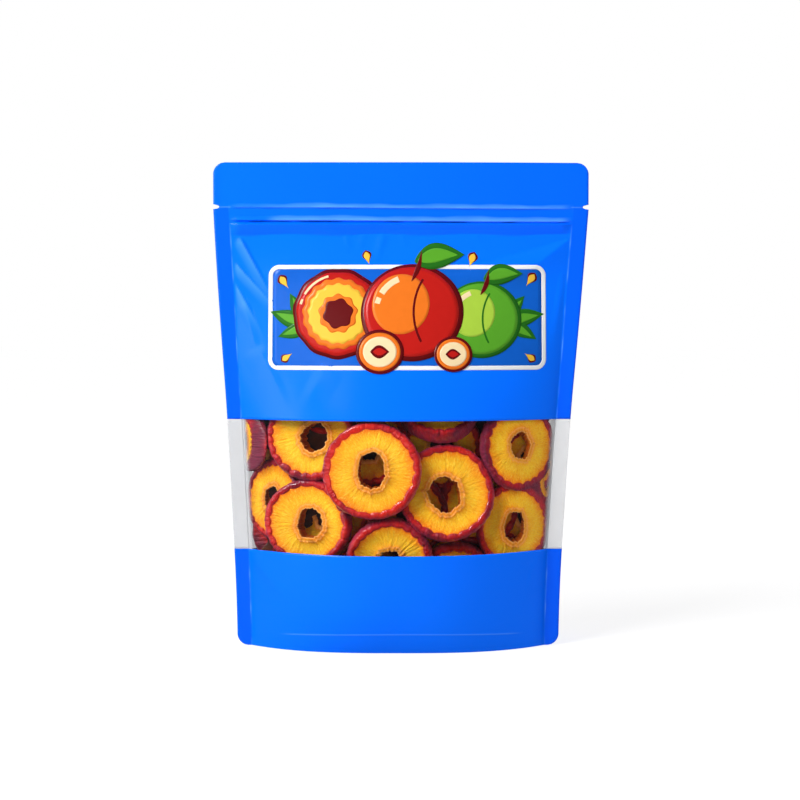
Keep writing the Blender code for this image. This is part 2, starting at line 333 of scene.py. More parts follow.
def corner_fold(x, z, out):
    """The header's right corner pulls up a plane from the seal to a slanting line, with a slope behind it."""
    room = np.clip(-out, 0, None)
    line = np.clip(CORNER_LINE_START - z, 0, None) * CORNER_LINE_SLOPE
    tilt = 0.27 * smooth((z - 150) / 22) * smooth((176 - z) / 1.5) * (x > 0)
    return tilt * np.clip(np.minimum(room, line - 0.55 * (room - line)), 0, None)


def ledge(z, top, low):
    """Face that comes out from its top edge to its low edge, and drops back within 0.4 mm below that."""
    return np.clip((top - z) / (top - low), 0, 1) ** 1.2 * smooth((z - low + 0.4) / 0.4)


def patchy(x, start):
    """Slow unevenness along the zip between 0 and 1, from three waves of unlike lengths."""
    waves = np.sin(x / 4.3 + start) + np.sin(x / 9.7 + 2 * start) + np.sin(x / 1.9 + 3 * start) * 0.4
    return np.clip(0.5 + 0.28 * waves, 0, 1)


def zip_tracks(x, z):
    """The upper and lower tracks, from 0 to 1, patchy along the zip, and their drift up and down."""
    drift = 0.25 * np.sin(x / 31)
    upper = ledge(z + drift, UPPER_TRACK_TOP - 0.8 * patchy(x, 1.0), UPPER_TRACK_EDGE)
    lower = ledge(z + drift, LOWER_TRACK_TOP - 0.7 * patchy(x, 4.0), LOWER_TRACK_EDGE)
    return upper * (0.45 + 0.55 * patchy(x, 2.0)), lower * (0.55 + 0.45 * patchy(x, 5.0)), drift


def above_zip_band(x, z):
    """Height above the wavy lower edge of the band under the zip."""
    return z - ZIP_BAND_FOOT + 0.4 * np.sin(x / 6)


def zip_relief(x, z):
    """Two tracks that face up, a groove under the second, and a band below that slopes back in."""
    upper, lower, drift = zip_tracks(x, z)
    groove = -0.35 * ridge(z + drift, ZIP_GROOVE, 0.9) * (0.3 + 0.7 * patchy(x, 3.0))
    slope = np.clip(above_zip_band(x, z) / (ZIP_BAND_TOP - ZIP_BAND_FOOT), 0, 1) ** 0.75
    return 0.8 * upper + 0.9 * lower + groove + 1.7 * smooth((ZIP_BAND_TOP - z) / 0.8) * slope


def weld_line(x, z):
    """Thin line where the gusset is welded on, 1 along WELD_HEIGHT - 1.6 * (x / 50) ** 2."""
    return ridge(z, WELD_HEIGHT - 1.6 * (x / 50) ** 2, 0.9) * smooth((52 - np.abs(x)) / 8)


def film_relief(x, z, side):
    """What stands out from the smooth panel: zip, folds, slow waves and the gusset's weld."""
    out = np.abs(x - centre_x(z)) - panel_half(z)
    height = zip_relief(x * -side, z) * smooth(-out / 5.0 + 0.2)
    for start, end, size, left, right in FOLDS:
        height = height + size * fold(x * -side, z, start, end, left, right) * smooth(-out / 4)
    height = height + corner_fold(x * -side, z, out)
    slow = np.sin(x / 17 + z / 23 + side) * np.sin(z / 19 - x / 41 + 2 * side)
    height = height + 0.35 * slow * plateau(z, 20, 150, 22) * smooth(-out / 22)
    return height + 0.13 * weld_line(x, z)


def film_tone(x, z, side):
    """Painted shade at the seals, over the header and on the band under the zip, painted highlights, and
    painted shade in the groove.
    """
    out = np.abs(x - centre_x(z)) - panel_half(z)
    across = x * -side
    upper, lower, drift = zip_tracks(across, z)
    ends = smooth(-out / 6.0 + 0.1)
    # Painted highlights: pale on the zip tracks, the seals' inner lines, the tear line, the weld line and
    # fold facets
    track_highlight = 0.55 * upper**0.6 * (0.3 + 0.7 * smooth((across + 62) / 20))
    track_highlight = track_highlight + 0.6 * lower**0.6 * smooth((across + 58) / 6)
    seal_line = 0.5 * ridge(out, 0.3, 0.8) * patchy(z * 1.7, 2.0) ** 2 * (z < SEAL_LINE_TOP)
    tear_line = 0.35 * ridge(z, NOTCH_HEIGHT_CENTRE - 0.1, 0.7) * smooth(out + 1)
    facets = sum(fold(across, z, start, end, 0.3, 3.8) for start, end, *_ in FOLDS[:3]) * smooth(-out / 1.5)
    pale = track_highlight * ends + seal_line + tear_line + 0.30 * weld_line(x, z) + 0.30 * facets
    # Painted shade along the groove under the zip
    dark = ridge(z + drift, ZIP_GROOVE, 0.8) * smooth(patchy(x, 3.0) * 2 - 0.5) * smooth(-out / 8 - 0.4)
    # Painted shade: darker over the header and more so to its right, on the band under the zip and at the
    # seals
    header = smooth((above_zip_band(across, z) - 0.1) / 0.7) * (0.45 + 0.002 * np.clip(across, -40, 60))
    band = plateau(z, ZIP_BAND_FOOT + 0.5, ZIP_BAND_TOP - 0.4, 0.6)
    header = header + 0.35 * band * np.clip((ZIP_BAND_TOP + 0.9 - z) / 5, 0, 1) * ends
    below = smooth(out / 0.8) * (z < SEAL_COLOUR_STEP)
    above = 0.6 * smooth((out + 1) / 7) * (z >= SEAL_COLOUR_STEP)
    painted_shade = np.clip(np.maximum(header, below + above), 0, 1.2)
    return np.stack(np.broadcast_arrays(painted_shade, np.clip(pale, 0, 1), dark), axis=-1)


def seal_plane(x, z):
    """Distance behind the origin of the seals' plane: the header's right side leans back a little."""
    return HEADER_LEAN * np.clip((x - 5) / 75, 0, 1) ** 2 * smooth((z - 120) / 70)


def film_depth(x, z):
    """Distance of the smooth film from the seals' plane: seal + bow * (1 - |across| ** fullness)."""
    across = np.clip(np.abs(x - centre_x(z)) / panel_half(z), 0, 1)
    return SEAL_HALF_THICKNESS + bow(z) * (1 - across ** fullness(z))


def on_film(x, z, side, lift=0.0):
    """Points on the outside of the front (side -1) or back (side 1) film at across x and height z."""
    y = side * (film_depth(x, z) + film_relief(x, z, side) + lift) + seal_plane(x, z)
    return np.stack(np.broadcast_arrays(x, y, z), axis=-1)


def grid_faces(rows, columns, wrap_rows=False, wrap_columns=False):
    """Quads of a grid of points, row by row, as an array of four indices each."""
    row = np.arange(rows if wrap_rows else rows - 1)
    column = np.arange(columns if wrap_columns else columns - 1)
    row, column = np.meshgrid(row, column, indexing="ij")
    here, above = row * columns, (row + 1) % rows * columns
    beside = (column + 1) % columns
    return np.stack((here + column, here + beside, above + beside, above + column), axis=-1).reshape(-1, 4)


def mesh_object(name, points, faces, attributes=None):
    """An object whose mesh has these points, in millimetres, and quads, shaded smooth."""
    mesh = bpy.data.meshes.new(name)
    mesh.vertices.add(len(points))
    mesh.vertices.foreach_set("co", (np.asarray(points, float) * MM).ravel())
    mesh.loops.add(faces.size)
    mesh.loops.foreach_set("vertex_index", faces.ravel().astype(np.int32))
    mesh.polygons.add(len(faces))
    mesh.polygons.foreach_set("loop_start", np.arange(0, faces.size, 4, dtype=np.int32))
    mesh.polygons.foreach_set("use_smooth", np.ones(len(faces), bool))
    mesh.update(calc_edges=True)
    mesh.validate()
    for key, values in (attributes or {}).items():
        layer = mesh.attributes.new(key, "FLOAT_VECTOR", "POINT")
        layer.data.foreach_set("vector", np.asarray(values, np.float32).ravel())
    piece = bpy.data.objects.new(name, mesh)
    bpy.context.scene.collection.objects.link(piece)
    return piece


def grid_piece(name, points, wrap_columns=False, flip=False, attributes=None):
    """An object from a grid of points, with its faces turned over if flip is true."""
    faces = grid_faces(*points.shape[:2], wrap_columns=wrap_columns)
    return mesh_object(name, points.reshape(-1, 3), faces[:, ::-1] if flip else faces, attributes)


def close_poles(piece):
    """Joins a piece's points that share one place, at poles, tips and seams."""
    shape = bmesh.new()
    shape.from_mesh(piece.data)
    bmesh.ops.remove_doubles(shape, verts=shape.verts, dist=JOIN_DISTANCE * MM)
    shape.to_mesh(piece.data)
    shape.free()
    return piece


def joined(parts):
    """Joins (points, faces, attributes) of several grids into one set of arrays."""
    points, faces, attributes = [], [], {}
    start = 0
    for part_points, part_faces, part_attributes in parts:
        points.append(part_points.reshape(-1, 3))
        faces.append(part_faces + start)
        start += len(points[-1])
        for key, values in part_attributes.items():
            attributes.setdefault(key, []).append(values.reshape(-1, 3))
    merged = {key: np.concatenate(values) for key, values in attributes.items()}
    return np.concatenate(points), np.concatenate(faces), merged


def finish_piece(piece, material, replaced=()):
    """Gives a piece its material, its body and the solids that it stands for."""
    piece.data.materials.append(material)
    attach(piece, "root")
    if replaced:
        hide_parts(*replaced)


def thicken(piece, thickness, offset=-1):
    """Gives an open sheet its thickness with a Solidify modifier."""
    wall = piece.modifiers.new("thickness", "SOLIDIFY")
    wall.thickness = thickness * MM
    wall.offset = offset
    wall.use_rim = True
    return piece


# Materials


def new_material(name):
    """A material's node tree and its Principled shader."""
    material = bpy.data.materials.new(name)
    material.use_nodes = True
    return material, material.node_tree, material.node_tree.nodes["Principled BSDF"]


def fill(tree, target, inputs):
    """Gives a node's inputs their values, or links them from sockets."""
    for key, value in inputs.items():
        if isinstance(value, bpy.types.NodeSocket):
            tree.links.new(value, target.inputs[key])
        else:
            target.inputs[key].default_value = value


def node(tree, kind, inputs=(), **settings):
    """Adds a node with these settings and inputs."""
    made = tree.nodes.new(kind)
    for key, value in settings.items():
        setattr(made, key, value)
    fill(tree, made, dict(inputs))
    return made


def seen(red, green, blue):
    """Base colour that is seen as this 8-bit display colour where the studio's light has its usual level."""
    shown = np.array((red, green, blue)) / 255
    linear = np.where(shown <= 0.04045, shown / 12.92, ((shown + 0.055) / 1.055) ** 2.4)
    return (*(linear / LIGHT_LEVEL).tolist(), 1.0)


def fruit(red, green, blue):
    """Base colour of fruit that is seen as this display colour inside the film, where it is dimmer."""
    return tuple(min(channel * FRUIT_LIGHT, 1.0) for channel in seen(red, green, blue)[:3]) + (1.0,)


def ramp(tree, factor, stops):
    """Colour ramp through (place, colour) stops."""
    made = node(tree, "ShaderNodeValToRGB", {"Fac": factor})
    elements = made.color_ramp.elements
    while len(elements) < len(stops):
        elements.new(0.5)
    for element, (place, colour) in zip(elements, stops):
        element.position = place
        element.color = colour
    return made.outputs["Color"]


def split(tree, vector):
    """The three channels of a vector."""
    parts = node(tree, "ShaderNodeSeparateXYZ", {"Vector": vector})
    return tuple(parts.outputs[axis] for axis in "XYZ")


def attribute(tree, name, output="Vector"):
    """A mesh's own attribute."""
    return node(tree, "ShaderNodeAttribute", attribute_name=name).outputs[output]


def object_coordinates(tree):
    """Places on the object, in metres."""
    return node(tree, "ShaderNodeTexCoord").outputs["Object"]


def steepness(tree):
    """0 where a surface faces the eye, 1 where it is seen along it."""
    return node(tree, "ShaderNodeLayerWeight", {"Blend": 0.5}).outputs["Facing"]


def maths(tree, operation, *values):
    """Result of an operation on values or sockets."""
    return node(tree, "ShaderNodeMath", dict(enumerate(values)), operation=operation).outputs["Value"]


def scaled(tree, value, low, high, new_low=0.0, new_high=1.0):
    """Value from low to high brought to new_low to new_high, and kept there beyond them."""
    inputs = {"Value": value, "From Min": low, "From Max": high, "To Min": new_low, "To Max": new_high}
    return node(tree, "ShaderNodeMapRange", inputs).outputs["Result"]


def mixed(tree, factor, first, second):
    """Mix of two colours."""
    return node(tree, "ShaderNodeMix", {"Factor": factor, 6: first, 7: second}, data_type="RGBA").outputs[2]


def mixed_values(tree, factor, first, second):
    """Mix of two values."""
    return node(tree, "ShaderNodeMix", {"Factor": factor, 2: first, 3: second}, data_type="FLOAT").outputs[0]


def noise(tree, vector, scale, detail=3.0, roughness=0.5):
    """Noise texture's value."""
    inputs = {"Vector": vector, "Scale": scale, "Detail": detail, "Roughness": roughness}
    return node(tree, "ShaderNodeTexNoise", inputs).outputs["Fac"]


def bump(tree, shader, height, distance, strength):
    """Bump from a height, linked to the shader."""
    made = node(tree, "ShaderNodeBump", {"Height": height, "Distance": distance, "Strength": strength})
    tree.links.new(made.outputs["Normal"], shader.inputs["Normal"])


def blue_film_material():
    """Glossy blue print on film.

    The film's tone attribute holds its painted shade, its painted highlights, and the painted shade in the
    groove.
    """
    material, tree, shader = new_material("blue_printed_film")
    place = object_coordinates(tree)
    painted_shade, painted_highlight, groove = split(tree, attribute(tree, "tone"))
    drift = scaled(tree, noise(tree, place, 9.0, detail=2.0), 0.35, 0.65)
    # Ink darkened by painted shade, lightened by painted highlights, and darkened by painted shade in the
    # groove
    ink = mixed(tree, painted_shade, mixed(tree, drift, FILM_BLUE_DEEPER, FILM_BLUE), FILM_BLUE_SHADED)
    ink = mixed(tree, painted_highlight, ink, FILM_BLUE_HIGHLIGHT)
    ink = mixed(tree, groove, ink, FILM_BLUE_GROOVE_SHADE)
    fill(tree, shader, {"Base Color": ink, "Roughness": 0.24, "Specular IOR Level": 0.12})
    crinkle = noise(tree, place, 55.0, detail=2.0)
    bump(tree, shader, maths(tree, "MULTIPLY_ADD", crinkle, 6.0, noise(tree, place, 420.0)), 0.00004, 0.4)
    return material


def print_material(name, colour):
    """Flat ink of one motif, with a faint unevenness of its density."""
    material, tree, shader = new_material(name)
    density = noise(tree, object_coordinates(tree), 300.0, detail=2.0)
    darker = tuple(channel * 0.9 for channel in colour[:3]) + (1.0,)
    ink = mixed(tree, density, darker, colour)
    fill(tree, shader, {"Base Color": ink, "Roughness": 0.26, "Specular IOR Level": 0.14})
    return material


def clear_film_material():
    """Clear film: hardly seen where it is flat, milky where it runs into a side seal, the milky grey there
    being partly painted shade beside the slices.
    """
    material, tree, shader = new_material("clear_film")
    haze = attribute(tree, "haze", "Fac")
    # Grey near the seals: the film's own milkiness, and painted shade beside the slices
    milk = mixed(tree, scaled(tree, haze, 0.0, 0.3), (0.3, 0.31, 0.33, 1), (0.66, 0.67, 0.69, 1))
    # Painted reflection: the film covers more where it is seen along it
    sheen = maths(tree, "MULTIPLY_ADD", maths(tree, "POWER", steepness(tree), 3.0), 0.25, 0.004)
    cover = maths(tree, "ADD", sheen, scaled(tree, haze, 0.0, 1.0, 0.0, 0.6))
    fill(tree, shader, {"Base Color": milk, "Alpha": cover, "Roughness": 0.2})
    bump(tree, shader, noise(tree, object_coordinates(tree), 60.0), 0.0003, 0.4)
    return material


def hazy_seal_material():
    """Clear film pressed together at the side seals: milky and light grey, with painted light that makes the
    right seal lighter.
    """
    material, tree, shader = new_material("hazy_seal")
    place = object_coordinates(tree)
    across = split(tree, place)[0]
    cloud = noise(tree, place, 110.0, detail=4.0)
    left = mixed(tree, cloud, (0.55, 0.56, 0.58, 1), (0.63, 0.64, 0.66, 1))
    right = mixed(tree, cloud, (0.70, 0.71, 0.73, 1), (0.78, 0.79, 0.81, 1))
    # Painted light: lighter greys on the right side than on the left
    grey = mixed(tree, scaled(tree, across, -0.06, 0.06), left, right)
    fill(tree, shader, {"Base Color": grey, "Alpha": 0.62, "Roughness": 0.38})
    bump(tree, shader, cloud, 0.0002, 0.5)
    return material


def flesh_colour(tree, place, way, warmth, fibres):
    """Yellow and amber by the way across and in patches, darker and paler along the fibres."""
    yellow = ramp(tree, way, (
        (0.0, fruit(232, 84, 0)), (0.045, fruit(250, 132, 0)), (0.14, fruit(255, 180, 6)),
        (0.55, fruit(255, 204, 40)), (0.86, fruit(255, 194, 34)), (1.0, fruit(252, 162, 30)),
    ))
    amber = ramp(tree, way, (
        (0.0, fruit(222, 70, 0)), (0.06, fruit(244, 116, 0)), (0.3, fruit(250, 156, 2)),
        (0.6, fruit(253, 178, 18)), (0.86, fruit(250, 166, 16)), (1.0, fruit(246, 140, 18)),
    ))
    flesh = mixed(tree, scaled(tree, noise(tree, place, 120.0), 0.38, 0.68), yellow, amber)
    flesh = mixed(tree, scaled(tree, warmth, 0.0, 1.0, 0.0, 0.4), flesh, amber)
    flesh = mixed(tree, scaled(tree, fibres, 0.50, 0.72, 0.0, 0.8), flesh, fruit(230, 124, 4))
    return mixed(tree, scaled(tree, fibres, 0.48, 0.30, 0.0, 0.7), flesh, fruit(255, 224, 92))


def skin_colour(tree, place, way, warmth):
    """Purple, dark red and bright red in soft patches, with painted shade along the skin's outside and a pale
    painted sheen where it is seen along it.
    """
    blush = noise(tree, place, 75.0, detail=4.0, roughness=0.6)
    redness = maths(tree, "MULTIPLY_ADD", warmth, 0.22, blush)
    # Painted shade: darker and more purple along the middle of the skin's outside, where it turns away
    redness = maths(tree, "MULTIPLY_ADD", way, -0.16, redness)
    red = ramp(tree, redness, (
        (0.35, fruit(88, 18, 44)), (0.46, fruit(128, 13, 34)),
        (0.57, fruit(170, 13, 24)), (0.72, fruit(198, 28, 16)),
    ))
    # Painted sheen: pale pink where the skin is seen along it
    return mixed(tree, scaled(tree, steepness(tree), 0.1, 0.7, 0.0, 0.55), red, fruit(186, 70, 98))


def plum_material():
    """Dried plum. Fibres and folds run out from the hole along the slice's polar attribute.

    Its zone attribute holds skin, crest of a lip and way across, its tone attribute the slice's warmth and
    the painted shade deep in the hole.
    """
    material, tree, shader = new_material("dried_plum")
    skin, crest, way = split(tree, attribute(tree, "zone"))
    warmth, deep, _ = split(tree, attribute(tree, "tone"))
    polar = attribute(tree, "polar")
    place = object_coordinates(tree)
    fibres = noise(tree, polar, 3.4, detail=6.0, roughness=0.7)
    flesh = flesh_colour(tree, place, way, warmth, fibres)
    # Painted shade: flesh darker deep in the hole
    flesh = mixed(tree, deep, flesh, fruit(172, 70, 0))
    flesh = mixed(tree, scaled(tree, crest, 0.35, 0.9, 0.0, 0.85), flesh, fruit(255, 180, 104))
    red = skin_colour(tree, place, way, warmth)
    fill(tree, shader, {
        "Base Color": mixed(tree, scaled(tree, skin, 0.35, 0.65), flesh, red),
        "Roughness": scaled(tree, skin, 0.0, 1.0, 0.55, 0.36),
        "Coat Weight": scaled(tree, skin, 0.0, 1.0, 0.0, 0.5),
        "Coat Roughness": 0.14,
        "Specular IOR Level": 0.2,
        "Subsurface Weight": 0.06,
        "Subsurface Radius": (1.0, 0.35, 0.1),
        "Subsurface Scale": 0.0015,
    })
    grain = maths(tree, "MULTIPLY_ADD", noise(tree, place, 1300.0), 0.35, fibres)
    folds = maths(tree, "MULTIPLY", noise(tree, polar, 1.5, detail=4.0, roughness=0.55), 2.4)
    bump(tree, shader, mixed_values(tree, scaled(tree, skin, 0.4, 0.8), grain, folds), 0.0008, 0.8)
    return material


def shaded_core_material():
    """Fruit deep inside the pouch, dark red-brown as painted shade, and sticky."""
    material, tree, shader = new_material("shaded_core_fruit")
    patches = noise(tree, object_coordinates(tree), 90.0, detail=4.0)
    brown = ramp(tree, patches, ((0.35, seen(34, 8, 4)), (0.55, seen(74, 24, 8)), (0.75, seen(120, 54, 14))))
    fill(tree, shader, {"Base Color": brown, "Roughness": 0.4})
    bump(tree, shader, patches, 0.002, 0.6)
    return material


# Film


# Where a seal's columns of points are, from its inner line to its outer edge
SEAL_STEPS = np.array((0.03, 0.07, 0.11, 0.17, 0.3, 0.5, 0.7, 0.85, 1.0))


def panel_columns(z, across):
    """Across positions at each height: the left seal, the bowed panel, the right seal."""
    z = z[:, None]
    middle = centre_x(z)
    panel = middle + across[None, :] * panel_half(z)
    edge = SEAL_STEPS[None, :] * (half_width(z) - panel_half(z))
    left = middle - panel_half(z) - edge[:, ::-1]
    right = middle + panel_half(z) + edge
    return np.concatenate((left, panel, right), axis=1)


def across_steps(count):
    """Places from -1 to 1, closer together near the seals."""
    even = np.linspace(-1, 1, count)
    return 0.6 * even + 0.4 * np.sin(even * math.pi / 2)


def film_sheet(name, levels, side, count):
    """One printed sheet from seal edge to seal edge: (height, across) on the film's rule."""
    x = panel_columns(levels, across_steps(count))
    z = np.broadcast_to(levels[:, None], x.shape)
    piece = grid_piece(name, on_film(x, z, side), flip=side > 0, attributes={"tone": film_tone(x, z, side)})
    return thicken(piece, FILM_THICKNESS)


def levels_between(low, high, step, finer=()):
    """Heights from low to high, with finer steps in the given (low, high, step) stretches."""
    levels = [low, high]
    edges = sorted({low, high, *(edge for stretch in finer for edge in stretch[:2])})
    for start, end in zip(edges, edges[1:]):
        steps = [stretch[2] for stretch in finer if stretch[0] <= start and end <= stretch[1]]
        count = max(int(round((end - start) / min(steps + [step]))), 1)
        levels.extend(np.linspace(start, end, count + 1))
    return np.unique(np.round(levels, 4))


def make_printed_film(blue):
    """Front and back film above and below the clear band."""
    top = levels_between(BAND_HIGH + PRINT_EDGE_UP, HEIGHT, 1.0, TOP_STRETCHES)
    base = levels_between(END_ROOM, BAND_LOW - PRINT_EDGE_DOWN, 0.9, BASE_STRETCHES)
    for side, word in ((-1, "front"), (1, "back")):
        upper = film_sheet(f"upper_{word}_film", top, side, UPPER_COLUMNS)
        finish_piece(upper, blue, ("printed_top",))
        lower = film_sheet(f"lower_{word}_film", base, side, LOWER_COLUMNS)
        finish_piece(lower, blue, ("printed_base",))


def make_gusset(blue):
    """Film underneath, from the rim in to a low middle: an oval disc, reach being 1 at the rim.

    Height = 0.12 + a raised cosine 3.4 high near the rim + a fold line of 0.5 * exp(-|y| / 1.2) from seal to
    seal.
    """
    reach = np.concatenate((np.linspace(0.985, 0.9, 6), np.linspace(0.88, 0.0, 36)))[:, None]
    turn = np.linspace(0, 2 * math.pi, 160, endpoint=False)[None, :]
    across = chord_half(0.0) * np.cos(turn)
    rim_depth = film_depth(centre_x(0.0) + across, 0.0) - FILM_THICKNESS
    x = centre_x(0.0) + reach * across
    y = reach * rim_depth * np.sign(np.sin(turn))
    fold_line = 0.5 * np.exp(-np.abs(y) / 1.2) * (reach < 0.95) * ridge(reach, 0.4, 1.2)
    z = 0.12 + 3.4 * ridge(reach, 0.86, 0.5) + fold_line
    piece = grid_piece("gusset_film", np.stack(np.broadcast_arrays(x, y, z), axis=-1), wrap_columns=True)
    thicken(close_poles(piece), FILM_THICKNESS, 1)
    finish_piece(piece, blue, ("printed_base",))


def band_levels(overlap):
    """Heights of the clear band from print to print, and under the print by the overlap."""
    return levels_between(BAND_LOW - PRINT_EDGE_DOWN - overlap, BAND_HIGH + PRINT_EDGE_UP + overlap, 1.2)


def make_clear_film(clear):
    """Clear panels between the seals: the film's rule a little further in, milky towards the seals, partly as
    painted shade.
    """
    levels = band_levels(CLEAR_OVERLAP)[:, None]
    across = across_steps(90)
    for side, word, clear_to in ((-1, "front", 0.965), (1, "back", 0.89)):
        x = centre_x(levels) + across[None, :] * panel_half(levels)
        points = on_film(x, np.broadcast_to(levels, x.shape), side, -FILM_THICKNESS - CLEAR_GAP)
        haze = np.clip((np.abs(across) - clear_to) / (1 - clear_to), 0, 1) ** 1.1
        haze = {"haze": np.broadcast_to(haze[None, :, None], points.shape)}
        piece = grid_piece(f"clear_{word}_film", points, flip=side > 0, attributes=haze)
        finish_piece(thicken(piece, CLEAR_THICKNESS), clear, ("window_film",))


def make_clear_seals(hazy):
    """Hazy seals beside the clear film: tubes with closed ends, |cos| ** 0.35 by |sin| ** 0.35 across."""
    levels = band_levels(0.0)
    open_up = np.pad(np.ones_like(levels), 1)[:, None]
    levels = np.pad(levels, 1, mode="edge")[:, None]
    turn = np.linspace(0, 2 * math.pi, 40, endpoint=False)[None, :]
    swell, thick = (np.sign(wave) * np.abs(wave) ** 0.35 * open_up for wave in (np.cos(turn), np.sin(turn)))
    half = (plain_half_width(levels) - panel_half(levels)) / 2
    for way, word in ((-1, "left"), (1, "right")):
        x = centre_x(levels) + way * (panel_half(levels) + half + half * swell)
        points = np.stack(np.broadcast_arrays(x, SEAL_HALF_THICKNESS * thick, levels), axis=-1)
        piece = grid_piece(f"clear_seal_{word}", points, wrap_columns=True, flip=way < 0)
        finish_piece(close_poles(piece), hazy, ("window_film",))


# Print


# White frame of the design: its middle, half sizes, corner radius and half the line's width
FRAME_CENTRE = (2.55, 139.4)
FRAME_HALF = (57.6, 21.2)
FRAME_CORNER = 3.6
FRAME_LINE = 0.9

# How far the lowest ink stands off the film, how far each layer stands off the last, and an ink's thickness
PRINT_LIFT = 0.04
PRINT_STEP = 0.02
INK_THICKNESS = 0.01

# Juice drops: tip as across and up from the frame's middle, direction, length
DROPS = (
    (-50, 12, 125, 7), (-16, 22, 105, 6.5), (50, 13, 55, 7),
    (26, 21, 70, 7), (-48, -15, 215, 6), (49, -15, 325, 6),
)

INKS = {
    "white": seen(250, 251, 253),
    "maroon": seen(104, 12, 16),
    "red": seen(196, 30, 24),
    "orange": seen(242, 122, 34),
    "cream": seen(252, 226, 178),
    "deep_green": seen(38, 112, 28),
    "leaf_green": seen(92, 170, 44),
    "lime": seen(176, 214, 70),
    "yellow": seen(252, 200, 66),
    "deep_blue": seen(14, 100, 212),
}


def disc(centre, inner, outer, tall=1.0, start=0.0, end=360.0, wobble=0.0, waves=7):
    """Ring or disc: radius from inner to outer, round from start to end degrees, its edge wobbling."""
    turn = np.radians(np.linspace(start, end, 90))
    out = np.linspace(0, 1, 11)[:, None]
    radius = (inner + (outer - inner) * out) * (1 + wobble * np.sin(waves * turn)[None, :] * out)
    return centre[0] + radius * np.cos(turn), centre[1] + radius * np.sin(turn) * tall


def blade(base, length, width, angle, bend=0.0, blunt=0.8):
    """Leaf or drop: along its midrib, as wide as sin(pi * way ** blunt), bent to one side."""
    way = np.linspace(0, 1, 32)[None, :]
    over = np.linspace(-1, 1, 9)[:, None]
    along = way * length
    aside = over * width / 2 * np.sin(np.pi * way**blunt) + bend * np.sin(np.pi * way)
    angle = math.radians(angle)
    x = base[0] + along * math.cos(angle) - aside * math.sin(angle)
    z = base[1] + along * math.sin(angle) + aside * math.cos(angle)
    return x, z


def rounded_frame(centre, half_x, half_z, corner, inner, outer):
    """Rounded rectangle's band, its half sizes grown by inner to outer, the corners being arcs."""
    turn = np.linspace(0, 2 * math.pi, 4 * 24, endpoint=False)
    quarter = np.floor(turn / (math.pi / 2))
    sign_x = np.where((quarter == 0) | (quarter == 3), 1, -1)
    sign_z = np.where(quarter < 2, 1, -1)
    spread = np.linspace(inner, outer, 5)[:, None]
    x = centre[0] + sign_x * (half_x - corner) + (corner + spread) * np.cos(turn)
    z = centre[1] + sign_z * (half_z - corner) + (corner + spread) * np.sin(turn)
    return denser(x, z)


def denser(x, z):
    """Closes a band's outline and adds points along its long straight runs."""
    x = np.concatenate((x, x[:, :1]), axis=1)
    z = np.concatenate((z, z[:, :1]), axis=1)
    gaps = np.hypot(np.diff(x[0]), np.diff(z[0]))
    places = [0.0]
    for index, gap in enumerate(gaps):
        pieces = max(int(gap / 1.2), 1)
        places.extend(index + np.arange(1, pieces + 1) / pieces)
    places = np.array(places)
    known = np.arange(x.shape[1])
    dense_x = np.stack([np.interp(places, known, row) for row in x])
    dense_z = np.stack([np.interp(places, known, row) for row in z])
    return dense_x, dense_z


def filled_frame(centre, half_x, half_z, corner):
    """The whole inside of a rounded rectangle, as its outline drawn in to its middle."""
    x, z = rounded_frame(centre, half_x, half_z, corner, 0.0, 0.0)
    size = np.linspace(0, 1, 24)[:, None]
    return centre[0] + size * (x[:1] - centre[0]), centre[1] + size * (z[:1] - centre[1])


def printed(shape, side, layer):
    """A shape laid on the film as a grid, a little higher for each layer, facing out."""
    x, z = np.broadcast_arrays(*shape)
    points = on_film(-side * x, z, side, PRINT_LIFT + PRINT_STEP * layer)
    faces = grid_faces(*x.shape)
    corner = points.reshape(-1, 3)[faces]
    normal = np.cross(corner[:, 1] - corner[:, 0], corner[:, 3] - corner[:, 0])
    if (normal[:, 1] * side).sum() < 0:
        faces = faces[:, ::-1]
    return points, faces, {}


def plum_slice_print(centre, radius):
    """Shapes of a plum slice seen from its face: (ink, layer, shape)."""
    return [
        ("maroon", 1, disc(centre, 0, radius, wobble=0.012, waves=11)),
        ("red", 2, disc(centre, 0, radius * 0.92, wobble=0.012, waves=11)),
        ("orange", 3, disc(centre, 0, radius * 0.78, wobble=0.025, waves=17)),
        ("yellow", 4, disc(centre, 0, radius * 0.66, wobble=0.03, waves=17)),
        ("orange", 5, disc(centre, 0, radius * 0.42, wobble=0.06, waves=9)),
        ("maroon", 6, disc(centre, 0, radius * 0.32, wobble=0.08, waves=6)),
        ("cream", 6, disc(centre, radius * 0.83, radius * 0.88, start=105, end=150)),
        ("cream", 6, disc(centre, radius * 0.83, radius * 0.88, start=158, end=166)),
    ]


def whole_plum_print(centre, radius, dark, main, light):
    """Shapes of a whole plum with its seam, stalk, leaf and highlights, in dark, main and light inks."""
    x, z = centre
    return [
        (dark, 2, disc(centre, 0, radius, tall=0.95, wobble=0.01, waves=2)),
        (main, 3, disc((x - 0.3, z + 0.3), 0, radius * 0.92, tall=0.95)),
        (light, 4, disc((x - radius * 0.22, z + radius * 0.16), 0, radius * 0.56, 1.05, wobble=0.02,
                        waves=2)),
        ("cream", 5, disc(centre, radius * 0.64, radius * 0.76, start=112, end=148)),
        ("cream", 5, disc(centre, radius * 0.65, radius * 0.75, start=156, end=166)),
        (dark, 5, disc((x + radius * 1.25, z), radius * 1.2, radius * 1.245, start=148, end=208)),
        ("maroon", 8, blade((x - 0.3, z + radius * 0.6), radius * 0.66, 2.0, 72, bend=-0.9)),
        ("deep_green", 6, blade((x + 0.9, z + radius * 1.0), radius * 1.0, radius * 0.52, 8, bend=1.2)),
        ("leaf_green", 7, blade((x + 2.3, z + radius * 1.02), radius * 0.8, radius * 0.28, 8, bend=1.2)),
    ]


